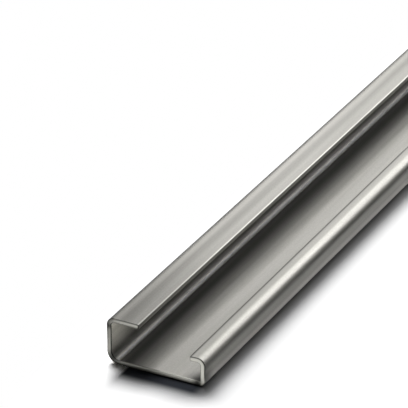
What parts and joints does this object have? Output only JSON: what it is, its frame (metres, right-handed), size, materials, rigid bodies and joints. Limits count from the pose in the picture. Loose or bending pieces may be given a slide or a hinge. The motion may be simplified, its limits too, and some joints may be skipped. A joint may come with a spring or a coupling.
{
  "type": "din rail",
  "caption": "Steel G-section mounting rail without slots: a tall side with a wide lip and a low side with a short lip, for clipping on terminal blocks.",
  "frame": {"origin": "middle of the rail's flat back face, at mid length and mid width", "axes": "+Y along the rail, +Z out of the back towards the lips, tall side at -X and low side at +X"},
  "size_m": [0.032, 1, 0.015],
  "materials": {
    "galvanised_steel": "zinc plated and passivated, satin, with fine rolling lines along the rail and bare steel on the cut ends"
  },
  "bodies": {
    "root": {"rail": "galvanised_steel"}
  },
  "joints": []
}
